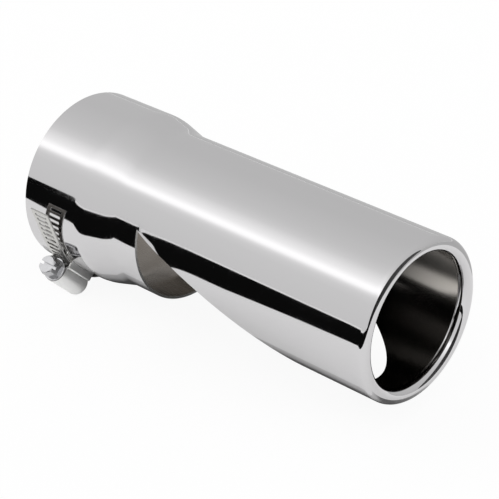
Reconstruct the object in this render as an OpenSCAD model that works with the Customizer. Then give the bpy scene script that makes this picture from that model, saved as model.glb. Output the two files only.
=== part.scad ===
// Slip-on exhaust tip with its worm-drive clamp, in millimetres.
// The tube's axis lies along +X, towards the rolled outlet rim, and +Z is up.
// The origin is on that axis, in the middle of the clamp band's grip on the tailpipe.
// The notch opens downwards, and the clamp hangs under the inlet sleeve.

/* [Tube] */
// Outside diameter of the inlet sleeve, which slips over the tailpipe
inlet_d = 70; // [66:0.5:80]
// Outside diameter of the neck and the outlet tube
outlet_d = 63; // [58:0.5:64]
// Thickness of the stainless sheet
sheet_t = 1; // [0.8:0.1:1.5]
// Length from the inlet rim to the front of the outlet rim
tip_l = 168.7; // [160:0.1:220]
// Length of the straight inlet sleeve, up to the swaged shoulder
sleeve_l = 27.4; // [24:0.1:34]
// Convex radius where the sleeve turns into the shoulder
shoulder_outer_r = 20; // [10:1:30]
// Concave radius where the shoulder turns into the neck
shoulder_inner_r = 22; // [10:1:30]
// Slope of the shoulder at its steepest, in degrees
shoulder_slope = 14.7; // [12:0.1:18]

/* [Underside notch] */
// Length of the neck, from the shoulder to the notch's square rear edge
neck_l = 11.6; // [8:0.1:20]
// Height of the notch's corner above the tube's axis
notch_top_z = 8.3; // [2:0.1:12]
// Length that the slanted cut leaves whole at the outlet, with its rolled rim
whole_l = 18.5; // [10:0.1:40]

/* [Rolled outlet rim] */
// Outside radius of the inward roll, seen from the side
roll_r = 2.8; // [1.8:0.1:3.4]
// How far the roll turns in, in degrees
roll_turn = 215; // [190:1:230]

/* [Clamp band] */
// Width of the clamp band
band_w = 9.8; // [8:0.1:12]
// Thickness of the clamp band
band_t = 0.6; // [0.5:0.05:0.8]
// Distance from the inlet rim to the band's middle
band_x = 13.6; // [11:0.05:16]
// Length of each worm slot, across the band
slot_l = 6.3; // [5:0.1:7.2]
// Width of each worm slot, along the band
slot_w = 1.25; // [1:0.05:1.4]
// Spacing of the worm slots along the band
slot_pitch = 2.57; // [2.4:0.01:2.8]
// Number of worm slots, counted back from the band's free end
slot_count = 29; // [20:1:34]
// Angle of the band's free end from straight down, in degrees
tail_end_phi = 95.4; // [85:0.1:100]
// Angle at which the free end leaves the sleeve, in degrees
tail_leave_phi = 70; // [68:0.5:80]
// Gap between the band and each wall or layer that it lies against
band_seat = 0.05; // [0.03:0.01:0.1]

/* [Windows in the sleeve] */
// Angle of each window's middle from straight down, in degrees
window_phi = 66; // [64:0.5:72]
// Height of each window, measured round the sleeve
window_h = 8.4; // [8:0.1:10]
// Room on each side of the band in its window
window_side = 1; // [0.5:0.1:1.5]

/* [Worm housing] */
// Angle of the clamp screw from straight down, in degrees
screw_phi = 44.5; // [42:0.5:47]
// Length of the housing along the screw
housing_l = 17; // [15:0.5:18]
// Distance from the slots' middle to the housing's mouth, along the screw
housing_front = 6.6; // [5.5:0.1:7.5]
// Thickness of the housing sheet
housing_t = 0.6; // [0.5:0.05:0.7]
// Height of the wide skirt that grips the band's edges
skirt_h = 2.9; // [2.6:0.1:3.5]
// Length of the foot that is folded under the band
foot_l = 5; // [3:0.5:5.5]
// Radius of the housing's rounded blind end
blind_r = 2.4; // [1:0.1:2.4]
// Running gap between the worm and the housing
worm_play = 0.2; // [0.1:0.05:0.3]
// Radius of the screw's tip, which runs in the blind end
tip_pin_r = 1.6; // [1.2:0.1:2]
// Running gap between the screw's tip and its hole, and between collar and housing
screw_play = 0.05; // [0.02:0.01:0.1]

/* [Clamp screw] */
// Outside radius of the worm thread
worm_r = 4.1; // [3.8:0.05:4.3]
// Radius of the worm's core
worm_core_r = 3.3; // [2.8:0.05:3.4]
// How deep the worm's crest reaches into the slots of the upper layer
worm_reach = 0.45; // [0.2:0.05:0.55]
// Width across the flats of the hex head
hex_af = 7; // [6:0.1:8]
// Height of the hex head above its collar
hex_h = 5.2; // [4:0.1:6]
// Radius of the collar under the head
collar_r = 4.75; // [4.7:0.05:5.2]
// Thickness of the collar
collar_t = 1; // [0.8:0.1:1.5]
// Width of the screwdriver slot
driver_w = 1.2; // [0.8:0.1:1.6]
// Depth of the screwdriver slot
driver_h = 2.2; // [1.2:0.1:2.6]

/* [Hidden] */
$fn = 96;

inlet_r = inlet_d / 2;
outlet_r = outlet_d / 2;

// Shoulder: two arcs joined by a short straight, worked out from the drop in radius
shoulder_drop = inlet_r - outlet_r;
arc_drop = (shoulder_outer_r + shoulder_inner_r) * (1 - cos(shoulder_slope));
shoulder_straight = max((shoulder_drop - arc_drop) / sin(shoulder_slope), 0.05);
shoulder_l = (shoulder_outer_r + shoulder_inner_r) * sin(shoulder_slope)
    + shoulder_straight * cos(shoulder_slope);
shoulder_end_x = sleeve_l + shoulder_l;

// The slanted cut runs from the notch's corner down to the outlet's underside
notch_x = shoulder_end_x + neck_l;
cut_end_x = tip_l - whole_l;
cut_fall = (notch_top_z + outlet_r) / (cut_end_x - notch_x);

// Layers of the clamp under the screw, counted outwards from the sleeve
foot_in_r = inlet_r + band_seat;
foot_out_r = foot_in_r + housing_t;
start_in_r = foot_out_r + band_seat;
run_in_r = start_in_r + band_t + band_seat;
run_out_r = run_in_r + band_t;
// Middle of the band where it lies inside the sleeve, on the sleeve and on its own start
inside_mid_r = inlet_r - sheet_t - band_seat - band_t / 2;
sleeve_mid_r = inlet_r + band_seat + band_t / 2;
tail_mid_r = sleeve_mid_r + band_t + band_seat;
start_mid_r = start_in_r + band_t / 2;
run_mid_r = run_in_r + band_t / 2;
// Distance of the screw's axis from the tube's axis
screw_rho = run_out_r - worm_reach + worm_r;

// Angles at which the band changes layer
cross_phi = 7;
inner_phi = window_phi + cross_phi;
housing_phi = 13.5;
lift_phi = 16;
drop_from_phi = screw_phi + 4.1;
drop_to_phi = screw_phi + 9.5;
start_end_phi = screw_phi - 9;
// Length of the straight free end, and the plain stretch before its first slot
tail_l = tail_mid_r * tan(tail_end_phi - tail_leave_phi);
tail_plain = 2.2;

housing_in_r = worm_r + worm_play;
housing_out_r = housing_in_r + housing_t;
skirt_in = band_w / 2 + band_seat;
skirt_out = skirt_in + housing_t;
housing_back = housing_l - housing_front;
// Gap behind the worm's core, and how far the tip stands out of the blind end
end_play = 0.3;
// Length of the plain shank between the worm and the collar
shank_l = 1.2;

// Points of an arc about a centre given as [axial place, radius]
function arc_points(cx, cr, radius, from, to, steps) =
    [for (i = [0:steps]) let (a = from + (to - from) * i / steps)
        [cx + radius * cos(a), cr + radius * sin(a)]];

// Inlet sleeve and shoulder, at a given depth below the sheet's outer face
function wall_line(depth) = concat(
    [[0, inlet_r - depth]],
    arc_points(sleeve_l, inlet_r - shoulder_outer_r, shoulder_outer_r - depth,
        90, 90 - shoulder_slope, 10),
    arc_points(shoulder_end_x, outlet_r + shoulder_inner_r, shoulder_inner_r + depth,
        270 - shoulder_slope, 270, 6)
);

function reversed(list) = [for (i = [len(list) - 1:-1:0]) list[i]];

// Eases from 0 to 1 while t goes from a to b
function ease(t, a, b) = let (u = min(max((t - a) / (b - a), 0), 1)) u * u * (3 - 2 * u);

// Middle radius of the band's start, from under the housing to its window
function start_r(phi) = start_mid_r
    - (start_mid_r - sleeve_mid_r) * ease(phi, drop_from_phi, drop_to_phi)
    - (sleeve_mid_r - inside_mid_r) * ease(phi, window_phi - cross_phi, inner_phi);

// Middle radius of the band's running part, from the far window to its free end
function run_r(phi) = phi < screw_phi
    ? sleeve_mid_r
        - (sleeve_mid_r - inside_mid_r) * ease(-phi, window_phi - cross_phi, inner_phi)
        + (run_mid_r - sleeve_mid_r)
            * ease(phi, screw_phi - housing_phi - lift_phi, screw_phi - housing_phi)
    : (run_mid_r - (run_mid_r - tail_mid_r) * ease(phi, drop_from_phi, drop_to_phi))
        / (phi > tail_leave_phi ? cos(phi - tail_leave_phi) : 1);

// Turns a profile drawn as [x, radius] into a body about the X axis
module turned() {
    rotate([90, 0, 90]) rotate_extrude() children();
}

// Moves a child to the angle phi, measured from straight down towards -Y
module at_phi(phi) {
    rotate([-phi, 0, 0]) children();
}

// Moves a child to the clamp screw's axis, with +Z towards its head and +Y inwards
module on_screw() {
    at_phi(screw_phi) translate([band_x, 0, -screw_rho]) rotate([90, 0, 0]) children();
}

// A round disc or bar along X, in the middle of the band
module band_disc(radius, width) {
    translate([band_x - width / 2, 0, 0]) rotate([0, 90, 0]) cylinder(r = radius, h = width);
}

// Inlet sleeve, shoulder, neck and outlet wall, as the outline of the sheet
module wall_profile() {
    outside = concat(wall_line(0), [[tip_l - roll_r, outlet_r]]);
    inside = concat(wall_line(sheet_t), [[tip_l - roll_r, outlet_r - sheet_t]]);
    polygon([for (p = concat(outside, reversed(inside))) [p[1], p[0]]]);
}

// The outlet edge, rolled inwards into a round bead
module roll_profile() {
    reach = 2 * roll_r;
    translate([outlet_r - roll_r, tip_l - roll_r]) difference() {
        circle(roll_r);
        circle(roll_r - sheet_t);
        polygon([
            [0, 0],
            [reach * cos(roll_turn), reach * sin(roll_turn)],
            [-reach, -2 * reach],
            [reach, -2 * reach],
            [reach, 0]
        ]);
    }
}

// What the square cut and the slanted cut take away from the underside
module notch() {
    reach = tip_l;
    rotate([90, 0, 0]) linear_extrude(2 * outlet_d, center = true) polygon([
        [notch_x, notch_top_z],
        [notch_x + reach, notch_top_z - reach * cut_fall],
        [notch_x, notch_top_z - reach * cut_fall]
    ]);
}

module tip_tube() color([0.82, 0.82, 0.83]) {
    difference() {
        turned() {
            wall_profile();
            roll_profile();
        }
        notch();
        for (side = [1, -1]) at_phi(side * window_phi)
            translate([band_x, 0, -inlet_r])
                cube([band_w + 2 * window_side, window_h, 6 * sheet_t], center = true);
    }
}

function steps(from, to, count) = [for (i = [0:count]) from + (to - from) * i / count];

// A strip of band laid through points given as angle and middle radius
module strip(phis, radii) {
    half = band_t / 2;
    last = len(phis) - 1;
    function face(i, side) = [
        -(radii[i] + side * half) * sin(phis[i]),
        -(radii[i] + side * half) * cos(phis[i])
    ];
    translate([band_x - band_w / 2, 0, 0]) rotate([90, 0, 90]) linear_extrude(band_w)
        polygon(concat([for (i = [0:last]) face(i, 1)], [for (i = [last:-1:0]) face(i, -1)]));
}

// Places a child on the running part of the band, a given way back from its free end
module on_band(back) {
    if (back < tail_l) {
        at_phi(tail_leave_phi) translate([band_x, back - tail_l, -tail_mid_r]) children();
    } else {
        phi = tail_leave_phi - (back - tail_l) / tail_mid_r * 180 / PI;
        at_phi(phi) translate([band_x, 0, -run_r(phi)]) children();
    }
}

module clamp_band() color([0.66, 0.66, 0.65]) {
    start_phis = steps(start_end_phi, inner_phi, 18);
    run_phis = concat(steps(-inner_phi, tail_leave_phi, 60), [tail_end_phi]);
    difference() {
        union() {
            strip(start_phis, [for (p = start_phis) start_r(p)]);
            strip(run_phis, [for (p = run_phis) run_r(p)]);
            // The upper part lies inside the sleeve and grips the tailpipe
            rotate([90, 0, 90]) rotate(inner_phi - 90) rotate_extrude(angle = 360 - 2 * inner_phi)
                translate([inside_mid_r - band_t / 2, band_x - band_w / 2]) square([band_t, band_w]);
        }
        for (i = [0:slot_count - 1]) on_band(tail_plain + i * slot_pitch)
            cube([slot_l, slot_w, 1.5 * band_t], center = true);
    }
}

// Section of the stamped housing, drawn across the screw, at a depth below its outer face
module housing_section(depth) {
    wall = housing_out_r - depth;
    skirt = skirt_out - depth;
    skirt_y = screw_rho - foot_in_r - skirt_h + depth;
    circle(wall);
    translate([-wall, 0]) square([2 * wall, skirt_y + housing_t]);
    translate([-skirt, skirt_y]) square([2 * skirt, inlet_r / 4]);
}

// Moves a child to the housing's blind end, with +Z along the screw towards its head
module on_housing() {
    on_screw() translate([0, 0, -housing_back]) children();
}

// The dome's rounded blind end, at a depth below its outer face
module blind_end(depth) {
    edge_r = blind_r - depth;
    wall = housing_out_r - depth;
    translate([0, 0, depth]) rotate_extrude() intersection() {
        union() {
            translate([wall - edge_r, edge_r]) circle(edge_r);
            square([wall - edge_r, edge_r]);
        }
        square([wall, edge_r]);
    }
}

// The rest of the housing's length, at a depth below its outer face
module barrel(depth) {
    translate([0, 0, blind_r]) linear_extrude(housing_l - blind_r + depth) housing_section(depth);
}

module clamp_housing() color([0.7, 0.7, 0.69]) {
    difference() {
        union() {
            on_housing() barrel(0);
            difference() {
                on_housing() blind_end(0);
                band_disc(run_out_r + 2 * band_seat, 4 * band_w);
            }
        }
        on_housing() {
            barrel(housing_t);
            blind_end(housing_t);
            translate([0, 0, -housing_t]) cylinder(r = tip_pin_r + screw_play, h = 3 * housing_t);
        }
        band_disc(foot_in_r, 4 * band_w);
    }
    // The foot is folded under the band and bears on the sleeve
    intersection() {
        difference() {
            band_disc(foot_out_r, 2 * skirt_in + housing_t);
            band_disc(foot_in_r, 4 * band_w);
        }
        on_screw() translate([-band_w, 0, -foot_l / 2]) cube([2 * band_w, inlet_r, foot_l]);
    }
}

module clamp_screw() color([0.74, 0.74, 0.73]) {
    core_back = housing_back - housing_t - end_play;
    collar_z = housing_front + screw_play;
    on_screw() {
        translate([0, 0, -core_back]) cylinder(r = worm_core_r, h = core_back + collar_z);
        translate([0, 0, -housing_back - end_play])
            cylinder(r = tip_pin_r, h = housing_t + 3 * end_play);
        translate([0, 0, collar_z - shank_l]) cylinder(r = worm_r - worm_play, h = shank_l);
        translate([0, 0, collar_z]) cylinder(r = collar_r, h = collar_t);
        translate([0, 0, collar_z + collar_t]) difference() {
            intersection() {
                cylinder(d = hex_af / cos(30), h = hex_h, $fn = 6);
                cylinder(r1 = hex_af / 2 / cos(30) + hex_h, r2 = hex_af / 2 * 0.96, h = hex_h);
            }
            translate([-hex_af, -driver_w / 2, hex_h - driver_h])
                cube([2 * hex_af, driver_w, 2 * driver_h]);
        }
    }
}

// The origin is in the middle of the band's grip
module placed() {
    translate([-band_x, 0, 0]) children();
}

placed() tip_tube();
placed() clamp_band();
placed() clamp_housing();
placed() clamp_screw();
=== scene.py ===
"""Slip-on exhaust tip with its worm-drive clamp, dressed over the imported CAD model.

Sizes are written in millimetres from the inlet rim, as on the workshop drawing, and turned to the
model's metres when a mesh is made. An angle round the tube is counted in degrees from straight
down towards -Y.
"""

from __future__ import annotations

import logging
import math
from dataclasses import dataclass
from enum import Enum
from typing import Any, Container, Iterable, Mapping, Sequence

import bmesh
import bpy
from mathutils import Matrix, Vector

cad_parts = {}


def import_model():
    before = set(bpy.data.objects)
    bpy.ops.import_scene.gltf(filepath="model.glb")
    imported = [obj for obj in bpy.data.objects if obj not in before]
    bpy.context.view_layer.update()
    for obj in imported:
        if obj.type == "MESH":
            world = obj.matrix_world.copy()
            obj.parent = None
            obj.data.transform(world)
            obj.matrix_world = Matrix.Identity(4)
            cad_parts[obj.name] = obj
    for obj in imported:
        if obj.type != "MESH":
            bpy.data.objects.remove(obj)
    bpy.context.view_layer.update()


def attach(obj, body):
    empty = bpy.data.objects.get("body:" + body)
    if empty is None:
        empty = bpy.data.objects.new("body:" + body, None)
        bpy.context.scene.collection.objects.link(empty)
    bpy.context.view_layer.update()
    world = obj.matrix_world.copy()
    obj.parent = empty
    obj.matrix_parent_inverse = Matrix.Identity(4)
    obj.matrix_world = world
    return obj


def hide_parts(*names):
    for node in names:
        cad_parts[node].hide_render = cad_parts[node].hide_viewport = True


LOG = logging.getLogger("exhaust_tip")

# Metres in one millimetre
MM = 0.001
# Edges shorter than this, in millimetres, are taken out after the edges are rounded
HAIR = 0.0005
# Steps of a rounded edge, and the least angle in degrees of an edge that is rounded
BEVEL_STEPS = 3
BEVEL_ANGLE = 35
# The middle of the band, where the model's origin is
BAND_X = 13.6
# Decimals of a millimetre to which two corners agree when they are one
WELD_GRAIN = 4
# How far a sharp corner of an offset line may run out, as the least cosine that is used
LEAST_LEAN = 0.3

Point = tuple[float, float, float]
Flat = tuple[float, float]
Tree = bpy.types.NodeTree
Socket = bpy.types.NodeSocket
Material = bpy.types.Material
Node = bpy.types.Node
Piece = bpy.types.Object
Surface = tuple[Material, Tree, Node]


class Face(Enum):
    """Which side of the sheet a face belongs to, and so which finish it takes."""

    OUTSIDE = 0
    INSIDE = 1
    CUT = 2


def linear(code: str) -> tuple[float, float, float, float]:
    """Turns an sRGB hex colour to linear values.

    Args:
        code: six hex digits, with or without a leading hash.

    Returns:
        Linear red, green, blue and an alpha of 1.
    """
    digits = code.lstrip("#")
    shares = [int(digits[i:i + 2], 16) / 255 for i in (0, 2, 4)]
    low = [s / 12.92 if s <= 0.04045 else ((s + 0.055) / 1.055) ** 2.4 for s in shares]
    return (low[0], low[1], low[2], 1.0)


def add_node(
    tree: Tree,
    kind: str,
    settings: Mapping[str, Any] | None = None,
    inputs: Mapping[int | str, Any] | None = None,
) -> Node:
    """Adds one node with its settings, and fills or links its inputs.

    Args:
        tree: the node tree of a material or the world.
        kind: Blender's name of the node, without "ShaderNode".
        settings: the node's own properties.
        inputs: what each input socket takes: a plain value, or an output socket to link from.

    Returns:
        The new node.
    """
    node = tree.nodes.new(f"ShaderNode{kind}")
    for name, value in (settings or {}).items():
        setattr(node, name, value)
    for key, value in (inputs or {}).items():
        if isinstance(value, Socket):
            tree.links.new(value, node.inputs[key])
        else:
            node.inputs[key].default_value = value
    return node


def add_math(tree: Tree, operation: str, one: Socket, two: Socket | float) -> Socket:
    """Adds a sum with two values, by Blender's name of the sum, and gives its output."""
    return add_node(tree, "Math", {"operation": operation}, {0: one, 1: two}).outputs[0]


def add_range(
    tree: Tree, value: Socket, source: Flat, target: Flat = (0.0, 1.0), shape: str = "LINEAR"
) -> Socket:
    """Adds a change from one range of values to another.

    Args:
        tree: the node tree.
        value: the output that it takes.
        source: the range that comes in.
        target: the range that goes out.
        shape: Blender's name of the way between the ends.

    Returns:
        Its output.
    """
    return add_node(tree, "MapRange", {"interpolation_type": shape},
                    {"Value": value, "From Min": source[0], "From Max": source[1],
                     "To Min": target[0], "To Max": target[1]}).outputs[0]


def add_noise(
    tree: Tree, place: Socket, size_mm: float, detail: float, roughness: float = 0.5
) -> Socket:
    """Adds a noise pattern of a real size.

    Args:
        tree: the node tree.
        place: the output with the place in metres.
        size_mm: the size of its features.
        detail: how many finer layers it has.
        roughness: how strong these are.

    Returns:
        Its output.
    """
    return add_node(tree, "TexNoise", {},
                    {"Vector": place, "Scale": 1 / (size_mm * MM), "Detail": detail,
                     "Roughness": roughness}).outputs["Fac"]


def set_ramp(node: Node, stops: Sequence[tuple[float, float | str]]) -> None:
    """Gives a colour ramp its stops.

    Args:
        node: the colour ramp.
        stops: pairs of a place from 0 to 1, and a linear grey level or an sRGB hex colour.
    """
    elements = node.color_ramp.elements
    while len(elements) < len(stops):
        elements.new(1.0)
    for element, (place, level) in zip(elements, stops):
        element.position = place
        element.color = linear(level) if isinstance(level, str) else (level, level, level, 1.0)


def on_ring(x: float, radius: float, phi: float) -> Point:
    """Gives the point at a place along the tube, a radius and an angle round it."""
    turn = math.radians(phi)
    return (x, -radius * math.sin(turn), -radius * math.cos(turn))


def ease(value: float, start: float, end: float) -> float:
    """Goes smoothly from 0 to 1 while the value goes from start to end."""
    share = min(max((value - start) / (end - start), 0.0), 1.0)
    return share * share * (3 - 2 * share)


def steps(start: float, end: float, count: int) -> list[float]:
    """Divides a way into even steps, and gives the values with both its ends."""
    return [start + (end - start) * i / count for i in range(count + 1)]


def arc(centre: Flat, radius: float, start: float, end: float, count: int) -> list[Flat]:
    """Lays points on an arc, from its first to its last angle in degrees."""
    turns = [math.radians(a) for a in steps(start, end, count)]
    return [(centre[0] + radius * math.cos(t), centre[1] + radius * math.sin(t)) for t in turns]


def finish_mesh(
    name: str,
    points: Sequence[Point],
    faces: Sequence[Sequence[int]],
    paints: Sequence[int],
    materials: Sequence[Material],
    edge_round: float,
) -> Piece:
    """Makes a piece from points and faces, with softly rounded edges.

    Args:
        name: the piece's name.
        points: corners in millimetres from the inlet rim.
        faces: corner numbers of each face.
        paints: the finish number of each face.
        materials: the finishes.
        edge_round: radius that the sharp edges are broken with, in millimetres.

    Returns:
        The new object, in metres in the model's frame.
    """
    mesh = bpy.data.meshes.new(name)
    mesh.from_pydata([((p[0] - BAND_X) * MM, p[1] * MM, p[2] * MM) for p in points], [], faces)
    for material in materials:
        mesh.materials.append(material)
    mesh.polygons.foreach_set("material_index", list(paints))
    work = bmesh.new()
    work.from_mesh(mesh)
    bmesh.ops.recalc_face_normals(work, faces=work.faces)
    work.to_mesh(mesh)
    work.free()
    mesh.shade_smooth()
    piece = bpy.data.objects.new(name, mesh)
    bpy.context.scene.collection.objects.link(piece)
    if edge_round > 0:
        bevel = piece.modifiers.new("broken edges", "BEVEL")
        bevel.width = edge_round * MM
        bevel.segments = BEVEL_STEPS
        bevel.limit_method = "ANGLE"
        bevel.angle_limit = math.radians(BEVEL_ANGLE)
        bevel.harden_normals = True
        bevel.use_clamp_overlap = True
        bevel.material = Face.CUT.value
        apply_modifiers(piece)
        work = bmesh.new()
        work.from_mesh(piece.data)
        bmesh.ops.dissolve_degenerate(work, dist=HAIR * MM, edges=work.edges)
        work.to_mesh(piece.data)
        work.free()
    return piece


def apply_modifiers(piece: Piece) -> None:
    """Bakes a piece's modifiers into its mesh.

    Args:
        piece: the object to settle.
    """
    graph = bpy.context.evaluated_depsgraph_get()
    settled = bpy.data.meshes.new_from_object(piece.evaluated_get(graph))
    settled.name = piece.name
    piece.modifiers.clear()
    piece.data = settled


class SheetMetal:
    """A bent and pierced sheet: quads on its outer face, each corner with a twin on the inner one.

    Wherever the quads end, at a rim, a slot or a window, a wall closes the sheet's thickness.
    """

    def __init__(self) -> None:
        """Starts an empty sheet."""
        self.outer: list[Point] = []
        self.inner: list[Point] = []
        self.cells: list[tuple[int, ...]] = []
        self._known: dict[tuple[float, ...], int] = {}

    def corner(self, outer: Point, inner: Point) -> int:
        """Adds a corner, or finds the one that is already there.

        Args:
            outer: its place on the outer face.
            inner: its place on the inner face.

        Returns:
            The corner's number.
        """
        key = tuple(round(v, WELD_GRAIN) for v in (*outer, *inner))
        if key not in self._known:
            self._known[key] = len(self.outer)
            self.outer.append(outer)
            self.inner.append(inner)
        return self._known[key]

    def cell(self, corners: Iterable[int]) -> None:
        """Adds one cell, and leaves out corners that have run together.

        Args:
            corners: the corner numbers in order.
        """
        ring: list[int] = []
        for number in corners:
            if number not in ring:
                ring.append(number)
        if len(ring) > 2:
            self.cells.append(tuple(ring))

    def lay(
        self,
        rows: Sequence[Sequence[tuple[Point, Point]]],
        closed: bool = False,
        gone: Container[tuple[int, int]] = (),
    ) -> None:
        """Lays a grid of quads.

        Args:
            rows: rows of corners, each an outer and an inner point.
            closed: whether each row closes on itself.
            gone: the rows and columns of cells that are cut out.
        """
        numbers = [[self.corner(*pair) for pair in row] for row in rows]
        width = len(rows[0])
        for i in range(len(rows) - 1):
            for j in range(width if closed else width - 1):
                k = (j + 1) % width
                if (i, j) not in gone:
                    self.cell((numbers[i][j], numbers[i][k], numbers[i + 1][k], numbers[i + 1][j]))

    def build(self, name: str, materials: Sequence[Material], edge_round: float) -> Piece:
        """Turns the sheet into a closed piece.

        Args:
            name: the piece's name.
            materials: the finishes of the outside, the inside and the cut edges.
            edge_round: radius of the broken edges in millimetres.

        Returns:
            The new object.
        """
        back = len(self.outer)
        faces: list[tuple[int, ...]] = []
        paints: list[int] = []
        ways: set[tuple[int, int]] = set()
        for ring in self.cells:
            faces += [ring, tuple(back + n for n in reversed(ring))]
            paints += [Face.OUTSIDE.value, Face.INSIDE.value]
            ways.update(zip(ring, ring[1:] + ring[:1]))
        for a, b in sorted(ways):
            if (b, a) not in ways:
                faces.append((b, a, back + a, back + b))
                paints.append(Face.CUT.value)
        return finish_mesh(name, self.outer + self.inner, faces, paints, materials, edge_round)


@dataclass(frozen=True)
class MetalFinish:
    """A metal's finish: its colour, and the lines, clouds and waves left by its making."""

    name: str
    colour: str
    # Roughness where the pattern is lowest and highest, and the pattern's levels there
    rough: Flat
    rough_from: Flat
    line_mm: float
    line_depth_mm: float
    # What the place along the tube, round it and outwards is multiplied by: less draws lines out
    stretch: Point | None = None
    line_detail: float = 4.0
    line_roughness: float = 0.6
    cloud_mm: float = 0.0
    cloud_detail: float = 5.0
    wave_mm: float = 0.0
    wave_depth_mm: float = 0.0
    # Places along the tube in metres, each with the finish's colour there: painted shade further
    # in, a painted highlight by the outlet rim
    painted_depth_colours: tuple[tuple[float, str], ...] = ()
    # Shares of that way between which the painted shade and highlight set in
    shade_from: Flat = (0.05, 0.35)
    deep_roughness: float = 0.15
    # The darker colour of its clouds near the inlet, and their size
    colour_dark: str = "6B655F"
    tint_mm: float = 18.0

    def paint_depth_light(self, tree: Tree, shader: Node, place: Socket, rough: Socket) -> None:
        """Gives the shader its colour and roughness by the place along the tube.

        Args:
            tree: the material's node tree.
            shader: its Principled shader.
            place: the output with the place in metres.
            rough: the output with the roughness of the clean metal.
        """
        clouds = add_noise(tree, place, self.tint_mm, self.cloud_detail)
        tint = add_node(tree, "Mix", {"data_type": "RGBA"},
                        {0: clouds, 6: linear(self.colour_dark), 7: linear(self.colour)})
        along = add_node(tree, "SeparateXYZ", {}, {0: place})
        # The ramp's colours are painted shade deep in the tube and a painted highlight by the
        # outlet rim
        first, last = self.painted_depth_colours[0][0], self.painted_depth_colours[-1][0]
        depth = add_range(tree, along.outputs["X"], (first, last))
        ramp = add_node(tree, "ValToRGB", {}, {"Fac": depth})
        set_ramp(ramp, [((x - first) / (last - first), code) for x, code in self.painted_depth_colours])
        painted_shade = add_range(tree, depth, self.shade_from, shape="SMOOTHSTEP")
        colour = add_node(tree, "Mix", {"data_type": "RGBA"},
                          {0: painted_shade, 6: tint.outputs[2], 7: ramp.outputs[0]})
        smooth = add_node(tree, "Mix", {}, {0: painted_shade, 2: rough, 3: self.deep_roughness})
        tree.links.new(colour.outputs[2], shader.inputs["Base Color"])
        tree.links.new(smooth.outputs[0], shader.inputs["Roughness"])

    def build(self) -> Material:
        """Makes the material.

        Returns:
            The new material.
        """
        material, tree, shader = new_surface(self.name)
        shader.inputs["Metallic"].default_value = 1.0
        if self.stretch is None:
            place = drawn = add_node(tree, "TexCoord").outputs["Object"]
        else:
            place = add_wrapped_place(tree)
            drawn = add_node(tree, "VectorMath", {"operation": "MULTIPLY"},
                             {0: place, 1: self.stretch}).outputs[0]
        lines = add_noise(tree, drawn, self.line_mm, self.line_detail, self.line_roughness)
        level = lines
        if self.cloud_mm > 0:
            clouds = add_noise(tree, place, self.cloud_mm, self.cloud_detail)
            level = add_math(tree, "MULTIPLY", lines, clouds)
        rough = add_range(tree, level, self.rough_from, self.rough)
        if self.painted_depth_colours:
            self.paint_depth_light(tree, shader, place, rough)
        else:
            shader.inputs["Base Color"].default_value = linear(self.colour)
            tree.links.new(rough, shader.inputs["Roughness"])
        reliefs = [(lines, self.line_depth_mm)]
        if self.wave_mm > 0:
            reliefs.insert(0, (add_noise(tree, place, self.wave_mm, 1.0), self.wave_depth_mm))
        normal = {}
        for height, depth_mm in reliefs:
            bump = add_node(tree, "Bump", {}, {
                "Height": height, "Strength": 1.0, "Distance": depth_mm * MM, **normal})
            normal = {"Normal": bump.outputs[0]}
        tree.links.new(bump.outputs[0], shader.inputs["Normal"])
        return material


# Stainless sheet, 304 grade, ground and buffed to a mirror. The eye sees sharp reflections, the
# faint waviness of formed sheet, and very fine buffing lines round the tube.
BUFFED = MetalFinish(
    "buffed_stainless_304", "D2D1D2", (0.035, 0.085), (0.15, 0.42), 0.5, 0.00012, (1.0, 0.02, 1.0),
    line_detail=3.0, cloud_mm=14.0, cloud_detail=4.0, wave_mm=26.0, wave_depth_mm=0.012,
)
# The tube's inner face as it came from the mill, with drawing lines along the tube, clouded by
# heat. Further in its colour is painted shade, and by the outlet rim a painted highlight.
DRAWN = MetalFinish(
    "mill_finish_stainless_inside", "8E8983", (0.18, 0.34), (0.3, 0.7), 0.35, 0.004,
    (0.03, 1.0, 1.0), line_roughness=0.65,
    painted_depth_colours=((0.045, "8E8A86"), (0.075, "2A2928"), (0.118, "373635"), (0.152, "D2CDC6")),
)
# The raw edge of sheared sheet, broken with a file: a bright narrow line with fine grooves.
SHEARED = MetalFinish(
    "sheared_stainless_edge", "B4B3B1", (0.14, 0.32), (0.3, 0.7), 0.3, 0.006,
    line_detail=3.0, line_roughness=0.5,
)
# The clamp's stamped and plated pieces, each with its colour, its roughness where smoothest, the
# width, depth and stretch of its lines. All have small handling marks.
STRIP, SHADED_UNDERSIDE, STAMPED, PLATED = (
    MetalFinish(name, colour, (smoothest, smoothest + 0.18), (0.12, 0.42), line, depth, stretch,
                cloud_mm=3.5)
    for name, colour, smoothest, line, depth, stretch in (
        ("cold_rolled_band_stainless", "C9C8C5", 0.22, 0.25, 0.0015, (1.0, 0.03, 1.0)),
        # The band's underside is a darker copy of its strip: painted shade where it faces the
        # sleeve
        ("band_underside_painted_shade", "77746F", 0.2, 0.25, 0.0015, (1.0, 0.03, 1.0)),
        ("stamped_housing_stainless", "F0F0EF", 0.34, 0.4, 0.002, (1.0, 0.4, 1.0)),
        ("bright_zinc_plated_steel", "B8B8BA", 0.11, 0.6, 0.001, (1.0, 1.0, 1.0)),
    )
)


def new_surface(name: str) -> Surface:
    """Starts a material with one Principled shader.

    Args:
        name: the material's name.

    Returns:
        The material, its node tree and its shader node.
    """
    material = bpy.data.materials.new(name)
    material.use_nodes = True
    tree = material.node_tree
    return material, tree, tree.nodes["Principled BSDF"]


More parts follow.
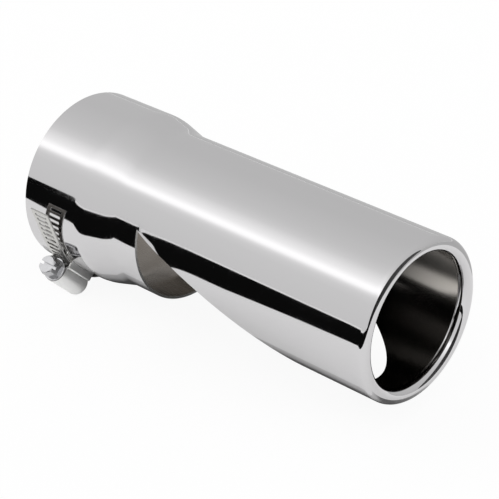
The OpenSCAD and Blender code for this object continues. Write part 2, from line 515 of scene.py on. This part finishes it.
def add_wrapped_place(tree: Tree) -> Socket:
    """Adds the place on the tube in metres: along it, round it, and out from its axis.

    Args:
        tree: the material's node tree.

    Returns:
        The output with that place.
    """
    place = add_node(tree, "TexCoord")
    apart = add_node(tree, "SeparateXYZ", {}, {0: place.outputs["Object"]})
    turn = add_math(tree, "ARCTAN2", apart.outputs["Y"], apart.outputs["Z"])
    across = add_node(tree, "CombineXYZ", {}, {"Y": apart.outputs["Y"], "Z": apart.outputs["Z"]})
    out = add_node(tree, "VectorMath", {"operation": "LENGTH"}, {0: across.outputs[0]})
    around = add_math(tree, "MULTIPLY", turn, TipTube.outlet_r * MM)
    joined = add_node(tree, "CombineXYZ", {},
                      {"X": apart.outputs["X"], "Y": around, "Z": out.outputs["Value"]})
    return joined.outputs[0]


@dataclass
class TipTube:
    """The polished tube: stepped inlet sleeve, shoulder, notched neck and rolled outlet rim."""

    inlet_r: float = 35.0
    outlet_r: float = 31.5
    sheet: float = 1.0
    length: float = 168.7
    sleeve_l: float = 27.4
    shoulder_outer_r: float = 20.0
    shoulder_inner_r: float = 22.0
    shoulder_slope: float = 14.7
    neck_l: float = 11.6
    notch_top_z: float = 8.3
    whole_l: float = 18.5
    roll_r: float = 2.8
    roll_turn: float = 215.0
    # Where the first row of points behind the inlet rim lies
    inlet_row: float = 3.5
    window_phi: float = 66.0
    window_h: float = 8.4
    window_half_w: float = 5.9
    # Least angle between a plain column of the mesh and one that follows a cut's corner
    column_gap: float = 0.45
    # Keeps the cut's lean from dividing by nothing at the tube's lowest line
    least_sine: float = 0.001
    # Length of plain sheet that is kept between a bend or a rim and the next row of the mesh
    row_gap: float = 2.0
    edge_round: float = 0.4
    lip_l: float = 14.0
    # For each part of the lip its rise, the width that it dies away over, and the lengths from the
    # notch's corner at which it is full, begins to sink and has gone
    lip: tuple[tuple[float, float, float, float, float], ...] = (
        (0.24, 0.7, 2.0, 8.0, 18.0), (0.2, 4.0, 8.0, 10.0, 32.0),
    )

    def __post_init__(self) -> None:
        """Works out where the shoulder ends, and the place and angle of the notch's corner."""
        slope = math.radians(self.shoulder_slope)
        radii = self.shoulder_outer_r + self.shoulder_inner_r
        straight = (self.inlet_r - self.outlet_r - radii * (1 - math.cos(slope))) / math.sin(slope)
        self.shoulder_end = self.sleeve_l + radii * math.sin(slope) + straight * math.cos(slope)
        self.notch_x = self.shoulder_end + self.neck_l
        self.cut_end = self.length - self.whole_l
        self.corner_phi = math.degrees(math.acos(-self.notch_top_z / self.outlet_r))
        self.window_turn = math.degrees(math.asin(self.window_h / 2 / self.inlet_r))

    def cut_x(self, phi: float) -> float:
        """Tells where the front part of the tube begins.

        Args:
            phi: angle round the tube.

        Returns:
            The place of the slanted cut, or of the square cut above the notch's corner.
        """
        height = -self.outlet_r * math.cos(math.radians(phi))
        share = (self.notch_top_z - height) / (self.notch_top_z + self.outlet_r)
        return max(self.notch_x, self.notch_x + (self.cut_end - self.notch_x) * share)

    def front_rows(self) -> list[Flat]:
        """Lists the rows up to the rolled rim, each as a length from the cut and a share left."""
        close = [(self.lip_l * share * share, 0.0) for share in steps(0, 1, 16)]
        return close + [(self.lip_l, share) for share in steps(0, 1, 20)[1:]]

    def lip_rise(self, x: float, phi: float) -> float:
        """Tells how far the sheet is bent outwards near the slanted cut, where it was dressed.

        Args:
            x: place along the tube.
            phi: angle round the tube.

        Returns:
            The rise above the round outer face.
        """
        corner, angle = self.corner_phi, min(abs(phi), self.corner_phi)
        fall = (self.notch_top_z + self.outlet_r) / (self.cut_end - self.notch_x)
        lean = math.atan2(fall, max(math.sin(math.radians(angle)), self.least_sine))
        along = x - self.cut_x(angle)
        above = math.radians(max(0.0, abs(phi) - corner)) * self.outlet_r
        away = along * math.sin(lean) + above * math.cos(lean)
        if along * math.cos(lean) < above * math.sin(lean):
            away = math.hypot(along, above)
        total = 0.0
        for rise, width, near, far, end in self.lip:
            spread = max(ease(corner - abs(phi), 0, near), ease(along, 0, near))
            spread *= 1 - ease(x - self.notch_x, far, end)
            total += rise * spread * math.exp(-away / width)
        return total

    def columns(self) -> list[float]:
        """Lists the angles of the mesh's columns, with one on each corner of a cut.

        Returns:
            The angles, from -180 up to just under 180.
        """
        special = [side * (self.window_phi + way * self.window_turn)
                   for side in (-1, 1) for way in (-1, 1)]
        special += [self.corner_phi, -self.corner_phi]
        plain = [a for a in steps(-180, 180, 360)[:-1]
                 if min(abs(a - s) for s in special) > self.column_gap]
        return sorted(plain + special)

    def rear_line(self, depth: float) -> list[Flat]:
        """Gives the tube's outline from the inlet rim to the notch.

        Args:
            depth: how far below the outer face.

        Returns:
            Places along the tube with their radii.
        """
        start, end = self.sleeve_l, self.shoulder_end
        window = steps(BAND_X - self.window_half_w, BAND_X + self.window_half_w, 6)
        flat = (0.0, self.inlet_row, *window, start - self.row_gap)
        line = [(x, self.inlet_r - depth) for x in flat]
        line += arc((start, self.inlet_r - self.shoulder_outer_r), self.shoulder_outer_r - depth,
                    90, 90 - self.shoulder_slope, 18)
        line += arc((end, self.outlet_r + self.shoulder_inner_r),
                    self.shoulder_inner_r + depth, 270 - self.shoulder_slope, 270, 18)
        line += [(x, self.outlet_r - depth) for x in steps(end + self.row_gap, self.notch_x, 6)]
        return line

    def roll_line(self, depth: float) -> list[Flat]:
        """Gives the outline of the rolled rim, from the tube's wall to the raw edge."""
        centre = (self.length - self.roll_r, self.outlet_r - self.roll_r)
        return arc(centre, self.roll_r - depth, 90, 90 - self.roll_turn, 36)

    def build(self, materials: Sequence[Material]) -> Piece:
        """Builds the tube.

        Args:
            materials: the finishes of the outside, the inside and the cut edges.

        Returns:
            The new object.
        """
        sheet = SheetMetal()
        phis = self.columns()
        rear_out, rear_in = self.rear_line(0), self.rear_line(self.sheet)
        rows = [
            [(on_ring(*out, phi), on_ring(*into, phi)) for phi in phis]
            for out, into in zip(rear_out, rear_in)
        ]
        # The windows are the cells whose middles lie within the band's room
        gone = {
            (i, j)
            for i, (one, two) in enumerate(zip(rear_out, rear_out[1:]))
            for j, (low, high) in enumerate(zip(phis, phis[1:]))
            if abs((one[0] + two[0]) / 2 - BAND_X) < self.window_half_w
            and abs(abs(low + high) / 2 - self.window_phi) < self.window_turn
        }
        sheet.lay(rows, closed=True, gone=gone)
        rows = []
        wall_end = self.length - self.roll_r
        for back, share in self.front_rows():
            rows.append([])
            for phi in phis:
                start = self.cut_x(phi)
                x = start + back + (wall_end - start - back) * share
                rise = self.lip_rise(x, phi)
                rows[-1].append((on_ring(x, self.outlet_r + rise, phi),
                                 on_ring(x, self.outlet_r - self.sheet + rise, phi)))
        for out, into in list(zip(self.roll_line(0), self.roll_line(self.sheet)))[1:]:
            rows.append([(on_ring(*out, phi), on_ring(*into, phi)) for phi in phis])
        sheet.lay(rows, closed=True)
        return sheet.build("polished_tip", materials, self.edge_round)


@dataclass
class ClampBand:
    """The perforated band: start under the screw, way inside the sleeve, way out and free end."""

    width: float = 9.8
    thick: float = 0.6
    seat: float = 0.05
    slot_l: float = 6.3
    slot_w: float = 1.25
    slot_pitch: float = 2.57
    slot_count: int = 29
    slot_round: float = 0.35
    tail_plain: float = 2.2
    tail_end_phi: float = 95.4
    tail_leave_phi: float = 70.0
    screw_phi: float = 44.5
    window_phi: float = 66.0
    cross_phi: float = 7.0
    housing_phi: float = 13.5
    lift_phi: float = 16.0
    drop_phi: Flat = (4.1, 9.5)
    begin_phi: float = 9.0
    foot_t: float = 0.6
    sleeve_r: float = 35.0
    sheet: float = 1.0
    edge_round: float = 0.1

    def __post_init__(self) -> None:
        """Works out the radii of the strip's middle in each layer, and the strip's lanes."""
        half = self.thick / 2
        layer = self.thick + self.seat
        self.inside_mid = self.sleeve_r - self.sheet - self.seat - half
        self.sleeve_mid = self.sleeve_r + self.seat + half
        self.tail_mid = self.sleeve_mid + layer
        self.start_mid = self.sleeve_r + 2 * self.seat + self.foot_t + half
        self.run_mid = self.start_mid + layer
        tail_turn = math.radians(self.tail_end_phi - self.tail_leave_phi)
        self.tail_l = self.tail_mid * math.tan(tail_turn)
        side, corner = self.slot_l / 2, self.slot_l / 2 - self.slot_round
        self.lanes = [-self.width / 2, -side, -corner, corner, side, self.width / 2]

    def drop(self, phi: float) -> float:
        """Tells what share of their way the layers by the screw have come down past the foot."""
        return ease(phi, self.screw_phi + self.drop_phi[0], self.screw_phi + self.drop_phi[1])

    def dive(self, phi: float) -> float:
        """Tells what share of its way in through a window the strip has gone."""
        return ease(phi, self.window_phi - self.cross_phi, self.window_phi + self.cross_phi)

    def start_r(self, phi: float) -> float:
        """Gives the radius of the start's middle at an angle round the tube."""
        return (self.start_mid - (self.start_mid - self.sleeve_mid) * self.drop(phi)
                - (self.sleeve_mid - self.inside_mid) * self.dive(phi))

    def run_r(self, phi: float) -> float:
        """Gives the running part's radius, up to where it leaves the sleeve.

        Args:
            phi: angle round the tube.

        Returns:
            The radius of the strip's middle.
        """
        if phi >= self.screw_phi:
            return self.run_mid - (self.run_mid - self.tail_mid) * self.drop(phi)
        lifted = self.screw_phi - self.housing_phi
        return (self.sleeve_mid - (self.sleeve_mid - self.inside_mid) * self.dive(-phi)
                + (self.run_mid - self.sleeve_mid) * ease(phi, lifted - self.lift_phi, lifted))

    def across(self, back: float, side: float) -> Flat:
        """Gives a point of the running part, seen along the tube.

        Args:
            back: distance from the free end, along the band.
            side: distance outwards from the strip's middle.

        Returns:
            The point's y and z.
        """
        leave = math.radians(self.tail_leave_phi)
        if back < self.tail_l:
            ahead = self.tail_l - back
            radius = self.tail_mid + side
            return (-radius * math.sin(leave) - ahead * math.cos(leave),
                    -radius * math.cos(leave) + ahead * math.sin(leave))
        phi = self.tail_leave_phi - math.degrees((back - self.tail_l) / self.tail_mid)
        point = on_ring(0, self.run_r(phi) + side, phi)
        return (point[1], point[2])

    def pair(self, back: float, x: float) -> tuple[Point, Point]:
        """Gives a corner of the running part, as its outer and its inner point."""
        half = self.thick / 2
        return tuple((BAND_X + x, *self.across(back, side)) for side in (half, -half))

    def add_slotted(self, sheet: SheetMetal) -> float:
        """Lays the perforated stretch.

        Args:
            sheet: the sheet to lay it on.

        Returns:
            How far back from the free end it reaches.
        """
        half_w, rounding = self.slot_w / 2, self.slot_round
        for i in range(self.slot_count):
            middle = self.tail_plain + i * self.slot_pitch
            ahead = 0.0 if i == 0 else middle - self.slot_pitch / 2
            backs = [ahead, middle - half_w, middle - half_w + rounding,
                     middle + half_w - rounding, middle + half_w, middle + self.slot_pitch / 2]
            numbers = [[sheet.corner(*self.pair(b, x)) for x in self.lanes] for b in backs]
            for r in range(5):
                for c in range(5):
                    one, two = numbers[r], numbers[r + 1]
                    ring = [one[c], one[c + 1], two[c + 1], two[c]]
                    if 1 <= r <= 3 and 1 <= c <= 3:
                        if r == 2 or c == 2:
                            continue
                        # A slot's corner keeps the half of its cell that lies away from the slot
                        ring.pop({(1, 1): 2, (1, 3): 3, (3, 3): 0, (3, 1): 1}[(r, c)])
                    sheet.cell(ring)
        return self.tail_plain + (self.slot_count - 0.5) * self.slot_pitch

    def build(self, materials: Sequence[Material]) -> Piece:
        """Builds the band.

        Args:
            materials: the finishes of the outside, the inside and the cut edges.

        Returns:
            The new object.
        """
        sheet = SheetMetal()
        half = self.thick / 2
        reached = self.add_slotted(sheet)
        inner_phi = self.window_phi + self.cross_phi
        run_end = self.tail_l + math.radians(self.tail_leave_phi + inner_phi) * self.tail_mid
        sheet.lay([[self.pair(b, x) for x in self.lanes] for b in steps(reached, run_end, 40)])
        inside = [(phi, self.inside_mid) for phi in steps(-inner_phi, inner_phi - 360, 110)]
        begin_phi = self.screw_phi - self.begin_phi
        start = [(phi, self.start_r(phi)) for phi in steps(inner_phi, begin_phi, 40)]
        for line in (inside, start):
            sheet.lay([
                [tuple(on_ring(BAND_X + x, r + side, phi) for side in (half, -half))
                 for x in self.lanes]
                for phi, r in line
            ])
        return sheet.build("perforated_band", materials, self.edge_round)


@dataclass
class ScrewSeat:
    """Where the clamp screw's axis lies, for the pieces that are built along it."""

    phi: float = 44.5
    rho: float = 40.6

    def place(self, x: float, inward: float, along: float) -> Point:
        """Places a point by the screw.

        Args:
            x: distance from the screw's axis, along the tube.
            inward: distance from the screw's axis towards the tube's axis.
            along: distance from the slots' middle, towards the screw's head.

        Returns:
            The point in millimetres from the inlet rim.
        """
        turn = math.radians(self.phi)
        depth = inward - self.rho
        return (BAND_X + x,
                -along * math.cos(turn) + depth * math.sin(turn),
                along * math.sin(turn) + depth * math.cos(turn))

    def turned(self, radius: float, angle: float, along: float) -> Point:
        """Places a point on a circle round the screw, by the place along its axis."""
        turn = math.radians(angle)
        return self.place(radius * math.cos(turn), radius * math.sin(turn), along)


def offset_line(line: Sequence[Flat], depth: float) -> list[Flat]:
    """Moves an open outline to its right by the sheet's thickness.

    Args:
        line: the outline's points.
        depth: how far.

    Returns:
        The moved points.
    """
    moved: list[Flat] = []
    for i, here in enumerate(line):
        before, after = line[max(i - 1, 0)], line[min(i + 1, len(line) - 1)]
        one = Vector((here[0] - before[0], here[1] - before[1]))
        two = Vector((after[0] - here[0], after[1] - here[1]))
        one = (one if one.length > 0 else two).normalized()
        two = (two if two.length > 0 else one).normalized()
        along = (one + two).normalized()
        lean = max(along.dot(one), LEAST_LEAN)
        moved.append((here[0] + along.y * depth / lean, here[1] - along.x * depth / lean))
    return moved


@dataclass
class WormHousing:
    """The stamped housing: a dome over the worm, skirts that grip the band, and a folded foot."""

    seat: ScrewSeat
    length: float = 17.0
    front: float = 6.6
    thick: float = 0.6
    wall: float = 4.9
    skirt: float = 5.55
    skirt_y: float = 2.65
    sleeve_gap_r: float = 35.05
    foot_l: float = 5.0
    foot_w: float = 10.5
    blind_r: float = 2.4
    pin_hole: float = 1.65
    edge_round: float = 0.14
    # The skirt's bend, the least step beside the wall, and where the wall's points begin and end
    bend_r: float = 0.55
    bend_gap: float = 0.02
    bend_step: float = 0.12
    wall_ends: Flat = (0.5, 0.3)

    def section(self) -> list[Flat]:
        """Gives the dome and shelves, from one skirt's bend to the other's.

        Returns:
            Points across and inward, in order.
        """
        bend, shelf, wall = self.bend_r, self.skirt_y, self.wall
        side = [(-self.skirt, shelf + 1.5 * bend)]
        side += arc((bend - self.skirt, shelf + bend), bend, 180, 270, 5)
        side = [(x, y) for x, y in side if x < -wall - self.bend_gap]
        side.append((-wall, shelf - self.bend_step))
        side += [(-wall, y) for y in steps(shelf - self.wall_ends[0], self.wall_ends[1], 4)]
        dome = arc((0, 0), wall, 180, 360, 36)
        return side + dome + [(-x, y) for x, y in reversed(side)]

    def depth(self, radius: float, along: float) -> float:
        """Tells how far inward from the screw's axis a round layer of the clamp lies."""
        return self.seat.rho - math.sqrt(radius ** 2 - along ** 2)

    def build(self, materials: Sequence[Material]) -> Piece:
        """Builds the housing.

        Args:
            materials: the finishes of the outside, the inside and the cut edges.

        Returns:
            The new object.
        """
        sheet = SheetMetal()
        back = self.front - self.length
        outer = self.section()
        inner = offset_line(outer, -self.thick)
        bend = outer[0][1]
        inside = self.skirt - self.thick
        rows = []
        for along in steps(self.front, back + self.blind_r, 24):
            end = self.depth(self.sleeve_gap_r, along)
            legs = [bend + (end - bend) * share for share in steps(0, 1, 4)[1:]]
            left, right = (
                [((side * self.skirt, y), (side * inside, y)) for y in legs] for side in (-1, 1)
            )
            across = left[::-1] + list(zip(outer, inner)) + right
            rows.append([tuple(self.seat.place(*p, along) for p in pair) for pair in across])
        sheet.lay(rows)
        cup = []
        for turn in steps(0, 90, 8):
            inward, on = 1 - math.cos(math.radians(turn)), math.sin(math.radians(turn))
            hollow_r = self.blind_r - self.thick
            cup.append((
                (self.wall - self.blind_r * inward, back + self.blind_r * (1 - on)),
                (self.wall - self.thick - hollow_r * inward, back + self.blind_r - hollow_r * on),
            ))
        cup.append(((self.pin_hole, back), (self.pin_hole, back + self.thick)))
        sheet.lay([
            [tuple(self.seat.turned(r, angle, z) for r, z in pair)
             for angle in steps(180, 540, 72)[:-1]]
            for pair in cup
        ], closed=True)
        faces = (self.sleeve_gap_r + self.thick, self.sleeve_gap_r)
        sheet.lay([
            [tuple(self.seat.place(x, self.depth(radius, along), along) for radius in faces)
             for x in steps(-self.foot_w / 2, self.foot_w / 2, 6)]
            for along in steps(-self.foot_l / 2, self.foot_l / 2, 8)
        ])
        return sheet.build("worm_housing", materials, self.edge_round)


@dataclass
class WormScrew:
    """The clamp screw: worm, collar and slotted hexagon head."""

    seat: ScrewSeat
    # The crest stays just clear of the band, which doesn't advance with the thread here
    worm_r: float = 3.6
    core_r: float = 2.75
    pitch: float = 2.57
    worm_back: float = -9.5
    worm_front: float = 5.45
    neck_r: float = 3.9
    neck_step: float = 0.1
    collar_z: float = 6.65
    collar_r: float = 4.75
    collar_t: float = 1.0
    flats: float = 7.0
    head_h: float = 5.2
    driver_w: float = 1.2
    driver_h: float = 2.2
    pin_r: float = 1.6
    pin_end: float = -10.7
    # Lengths over which the thread runs out, and of the chamfers on the pin, core and collar
    run_out: float = 1.2
    chamfer: float = 0.25
    core_chamfer: float = 0.3
    collar_chamfer: float = 0.2
    # Shares of the pitch at which the thread's flanks begin and end
    flanks: tuple[Flat, Flat] = ((0.16, 0.36), (0.64, 0.84))
    # The head's flat top as a share of its width across the flats, and its chamfer's slope
    top_share: float = 0.96
    top_slope: float = 0.884
    # Radius of the smallest ring, which closes an end, also as a share of the head's flat top
    point_r: float = 0.001
    # Least angle of an edge that is shaded sharp
    sharp_from: float = 28.0

    def rings(self) -> list[list[Point]]:
        """Gives the screw's surface as rings, from its tip to the middle of its head.

        Returns:
            Rings of points, as angle-ordered places by the screw.
        """
        angles = steps(0, 360, 96)[:-1]
        core, collar, end = self.core_r, self.collar_r, self.pin_end
        base = self.collar_z + self.collar_t
        top = base + self.head_h
        below = [
            (self.point_r, end), (self.pin_r - self.chamfer, end), (self.pin_r, end + self.chamfer),
            (self.pin_r, self.worm_back), (core - self.core_chamfer, self.worm_back),
        ]
        above = [
            (self.neck_r, self.worm_front + self.neck_step), (self.neck_r, self.collar_z),
            (collar - self.collar_chamfer, self.collar_z),
            (collar, self.collar_z + self.collar_chamfer),
            (collar, base - self.chamfer), (collar - self.chamfer, base),
        ]
        rows = [[ring] * len(angles) for ring in below]
        for z in steps(self.worm_back, self.worm_front, 150):
            fade = ease(z, self.worm_back, self.worm_back + self.run_out)
            fade *= ease(-z, -self.worm_front, self.run_out - self.worm_front)
            row = []
            for angle in angles:
                phase = (z / self.pitch - angle / 360) % 1.0
                ridge = ease(phase, *self.flanks[0]) - ease(phase, *self.flanks[1])
                row.append((core + (self.worm_r - core) * ridge * fade, z))
            rows.append(row)
        rows += [[ring] * len(angles) for ring in above]
        across = [self.flats / 2 / math.cos(math.radians((a + 30) % 60 - 30)) for a in angles]
        flat_r = self.flats / 2 * self.top_share
        rows.append([(r, base) for r in across])
        rows.append([(r, top - max(r - flat_r, 0.0) * self.top_slope) for r in across])
        rows += [[(flat_r * share, top)] * len(angles)
                 for share in (1.0, 0.8, 0.5, 0.2, self.point_r)]
        return [[self.seat.turned(r, a, z) for a, (r, z) in zip(angles, row)] for row in rows]

    def driver_cut(self) -> Piece:
        """Builds the block that cuts the driver slot.

        Returns:
            The block, to be deleted after the cut.
        """
        low = self.collar_z + self.collar_t + self.head_h - self.driver_h
        corners = [
            self.seat.place(x * self.flats, y * self.driver_w / 2, z)
            for z in (low, low + 2 * self.driver_h) for y in (-1, 1) for x in (-1, 1)
        ]
        faces = [(0, 1, 3, 2), (4, 6, 7, 5), (0, 4, 5, 1), (2, 3, 7, 6), (0, 2, 6, 4), (1, 5, 7, 3)]
        return finish_mesh("driver_cut", corners, faces, [0] * 6, [], 0.0)

    def build(self, material: Material) -> Piece:
        """Builds the screw.

        Args:
            material: its finish.

        Returns:
            The new object.
        """
        rings = self.rings()
        width = len(rings[0])
        points = [p for ring in rings for p in ring]
        faces = []
        for i in range(len(rings) - 1):
            for j in range(width):
                k = (j + 1) % width
                one, two = i * width, (i + 1) * width
                faces.append((one + j, one + k, two + k, two + j))
        faces += [tuple(range(width)), tuple(range(len(points) - width, len(points)))]
        piece = finish_mesh("worm_screw", points, faces, [0] * len(faces), [material], 0.0)
        cutter = self.driver_cut()
        cut = piece.modifiers.new("driver slot", "BOOLEAN")
        cut.operation = "DIFFERENCE"
        cut.solver = "EXACT"
        cut.object = cutter
        apply_modifiers(piece)
        bpy.data.objects.remove(cutter)
        piece.data.set_sharp_from_angle(angle=math.radians(self.sharp_from))
        return piece


def rectangle(across: Flat, deep: Flat, height: float) -> list[Point]:
    """Gives the corners of a level rectangle, by its ends along X and along Y."""
    return [(across[i], deep[j], height) for i, j in ((0, 0), (1, 0), (1, 1), (0, 1))]


@dataclass
class Studio:
    """The photograph's studio: a white table, soft grey walls with one long softbox, and flags.

    Only the mirror metal sees the flags, the card and the sheet of painted contact shadow under the
    tube. It shows them as the photograph's dark stripe and arcs.
    """

    camera_at: Point = (0.490154, -0.448069, 0.333630)
    azimuth: float = 42.939
    elevation: float = 28.689
    lens: float = 134.19
    sensor: float = 36.0
    floor_z: float = -0.0392
    table_reach: float = 6.0
    table_colour: str = "F2F2F2"
    table_roughness: float = 0.9
    table_gloss: float = 0.1
    # How far the camera sees the table as plain white, and how bright that white is
    white_share: float = 0.9
    white_level: float = 1.02
    glow_mirrored: float = 0.2
    # The flags' height above the table, and how far they reach along the tube and away from it
    flag_lift: float = 0.001
    flag_reach: float = 2.5
    flag_far: float = 1.0
    # Edge of the front flag that lies nearest to the tube, which sets the dark stripe's lower line
    flag_edge: tuple[Flat, ...] = (
        (-2.5, -0.115), (-0.10, -0.115), (-0.054, -0.098), (-0.019, -0.087),
        (0.036, -0.091), (0.064, -0.110), (0.10, -0.128), (2.5, -0.128),
    )
    # Outline of the standing flag behind the front one, as places along X with heights
    stood_edge: tuple[Flat, ...] = ((-2.5, 0.05), (-0.862, 0.05), (-0.83, -0.038))
    end_flag_x: float = 1.0
    end_flag_r: float = 0.76
    # How the end flag's cloth grows lighter along Y, from one place across the tube to another
    grade_from: Flat = (-0.5, 0.7)
    grade_levels: Flat = (0.012, 0.11)
    card_near: float = 0.12
    # A sheet under the tube whose grey fade is painted contact shadow, seen only in the metal's
    # reflections
    shadow_x: Flat = (-0.03, 0.165)
    shadow_y: Flat = (-0.024, 0.016)
    shadow_fade: tuple[Flat, ...] = (
        (0.0, 0.88), (0.12, 0.7), (0.25, 0.22), (0.4, 0.2), (0.7, 0.4), (1.0, 0.8),
    )
    # Angle round the tube's line from straight down towards -Y, and the wall's level there
    walls: tuple[Flat, ...] = (
        (-180, 0.80), (-165, 0.76), (-140, 0.71), (-120, 0.69), (-92, 0.64), (-60, 0.7), (0, 0.9),
        (57, 0.9), (86, 0.85), (89, 0.82), (121, 0.86), (129, 0.92), (133, 1.05), (138, 1.52),
        (142, 1.58), (149, 1.28), (157, 1.1), (165, 0.92), (173, 0.84), (180, 0.80),
    )
    # A ramp's colours end at 1, so the walls' levels are halved there and doubled by the strength
    wall_strength: float = 2.0

    def camera(self) -> None:
        """Sets up the camera at the photograph's viewing angle."""
        data = bpy.data.cameras.new("photo_camera")
        data.lens = self.lens
        data.sensor_width = self.sensor
        camera = bpy.data.objects.new("photo_camera", data)
        bpy.context.scene.collection.objects.link(camera)
        camera.location = self.camera_at
        camera.rotation_euler = (math.radians(90 - self.elevation), 0, math.radians(self.azimuth))
        bpy.context.scene.camera = camera

    def world(self) -> None:
        """Builds the walls and the softbox as the world's light."""
        world = bpy.data.worlds.new("studio")
        bpy.context.scene.world = world
        world.use_nodes = True
        tree = world.node_tree
        tree.nodes.clear()
        place = add_node(tree, "TexCoord")
        apart = add_node(tree, "SeparateXYZ", {}, {0: place.outputs["Generated"]})
        front, down = (add_math(tree, "MULTIPLY", apart.outputs[axis], -1.0) for axis in "YZ")
        turn = add_math(tree, "ARCTAN2", front, down)
        share = add_range(tree, turn, (-math.pi, math.pi))
        ramp = add_node(tree, "ValToRGB", {}, {"Fac": share})
        set_ramp(ramp, [((a + 180) / 360, level / self.wall_strength) for a, level in self.walls])
        light = add_node(tree, "Background", {},
                         {"Color": ramp.outputs[0], "Strength": self.wall_strength})
        add_node(tree, "OutputWorld", {}, {"Surface": light.outputs[0]})

    def card(self, name: str, corners: Sequence[Point], material: Material) -> Piece:
        """Builds a flat stage card.

        Args:
            name: its name.
            corners: its corners in metres.
            material: its finish.

        Returns:
            The card.
        """
        mesh = bpy.data.meshes.new(name)
        mesh.from_pydata(list(corners), [], [tuple(range(len(corners)))])
        mesh.materials.append(material)
        piece = bpy.data.objects.new(name, mesh)
        bpy.context.scene.collection.objects.link(piece)
        return piece

    def matt(self, name: str, colour: str | None = None) -> Surface:
        """Starts a fully matt surface.

        Args:
            name: the material's name.
            colour: its sRGB hex colour; a pattern is linked later when it is left out.

        Returns:
            The material, its node tree and its shader node.
        """
        material, tree, shader = new_surface(name)
        shader.inputs["Roughness"].default_value = 1.0
        if colour is not None:
            shader.inputs["Base Color"].default_value = linear(colour)
        return material, tree, shader

    def across(self, tree: Tree, ends: Flat, levels: Flat = (0.0, 1.0)) -> Socket:
        """Adds a value that changes with the place along Y.

        Args:
            tree: the node tree.
            ends: the places in metres between which it changes.
            levels: its values there.

        Returns:
            Its output.
        """
        place = add_node(tree, "TexCoord")
        apart = add_node(tree, "SeparateXYZ", {}, {0: place.outputs["Object"]})
        return add_range(tree, apart.outputs["Y"], ends, levels)

    def floor(self) -> None:
        """Lays the white table, which keeps the object's soft shadow."""
        material, tree, shader = new_surface("white_table_laminate")
        shader.inputs["Base Color"].default_value = linear(self.table_colour)
        shader.inputs["Roughness"].default_value = self.table_roughness
        shader.inputs["Specular IOR Level"].default_value = self.table_gloss
        path = add_node(tree, "LightPath")
        mirrored = add_math(
            tree, "MAXIMUM", path.outputs["Is Glossy Ray"], path.outputs["Is Transmission Ray"])
        lift = add_math(tree, "MULTIPLY", mirrored, self.glow_mirrored)
        share = add_math(tree, "MULTIPLY", path.outputs["Is Camera Ray"], self.white_share)
        glow, white = (
            add_node(tree, "Emission", {},
                     {"Color": (1.0, 1.0, 1.0, 1.0), "Strength": level}).outputs[0]
            for level in (lift, self.white_level)
        )
        lit = add_node(tree, "AddShader", {}, {0: shader.outputs[0], 1: glow})
        surface = add_node(tree, "MixShader", {}, {0: share, 1: lit.outputs[0], 2: white})
        tree.links.new(surface.outputs[0], tree.nodes["Material Output"].inputs["Surface"])
        ends = (-self.table_reach, self.table_reach)
        self.card("white_table", rectangle(ends, ends, self.floor_z), material)

    def flags(self) -> None:
        """Sets up the flags, the card and the painted shadow sheet that only the polished metal
        sees.
        """
        black, _, shader = self.matt("black_flag_cloth", "101010")
        shader.inputs["Specular IOR Level"].default_value = 0.0
        # Painted contact shadow: a grey sheet under the tube that only the metal's reflections see
        shadow_sheet, tree, shader = self.matt("painted_contact_shadow")
        fade = add_node(tree, "ValToRGB", {}, {"Fac": self.across(tree, self.shadow_y)})
        set_ramp(fade, self.shadow_fade)
        tree.links.new(fade.outputs[0], shader.inputs["Base Color"])
        graded, tree, shader = self.matt("graded_flag_cloth")
        level = self.across(tree, self.grade_from, self.grade_levels)
        tree.links.new(level, shader.inputs["Base Color"])
        grey, _, _ = self.matt("grey_card", "D2D2D2")
        low, far, reach = self.floor_z + self.flag_lift, self.flag_far, self.flag_reach
        front = [(x, y, low) for x, y in (*self.flag_edge, (reach, -far), (-reach, -far))]
        stood = [(x, -far, z) for x, z in ((-reach, low), *self.stood_edge)]
        disc = arc((0, 0), self.end_flag_r, -10, 190, 40)
        end = [(self.end_flag_x, y, max(z, low)) for y, z in disc]
        for name, corners, finish in (
            ("painted_shadow_sheet", rectangle(self.shadow_x, self.shadow_y, low), shadow_sheet),
            ("front_flag", front, black),
            ("stood_flag", stood, black),
            ("end_flag", end, graded),
            ("rear_card", rectangle((-reach, reach), (self.card_near, reach), low), grey),
        ):
            flag = self.card(name, corners, finish)
            flag.visible_camera = False
            flag.visible_diffuse = False
            flag.visible_shadow = False

    def build(self) -> None:
        """Builds the whole studio."""
        self.camera()
        self.world()
        self.floor()
        self.flags()
        bpy.context.scene.view_settings.view_transform = "Standard"


def dress(piece: Piece, body: str, node: str) -> None:
    """Hangs a piece on its body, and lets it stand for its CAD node.

    Args:
        piece: the new piece.
        body: the moving body that it rides on.
        node: the CAD node that it replaces.
    """
    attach(piece, body)
    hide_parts(node)
    LOG.info("%s: %d faces, on %s, for %s", piece.name, len(piece.data.polygons), body, node)


def main() -> None:
    """Builds the exhaust tip and its studio."""
    logging.basicConfig(level=logging.INFO, format="%(name)s %(message)s")
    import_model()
    seat = ScrewSeat()
    edge = SHEARED.build()
    tube = TipTube().build([BUFFED.build(), DRAWN.build(), edge])
    dress(tube, "tip", "tip_tube")
    band = ClampBand().build([STRIP.build(), SHADED_UNDERSIDE.build(), edge])
    dress(band, "tip", "clamp_band")
    stamped = STAMPED.build()
    housing = WormHousing(seat).build([stamped, stamped, edge])
    dress(housing, "tip", "clamp_housing")
    screw = WormScrew(seat).build(PLATED.build())
    dress(screw, "screw", "clamp_screw")
    Studio().build()


if __name__ == "__main__":
    main()
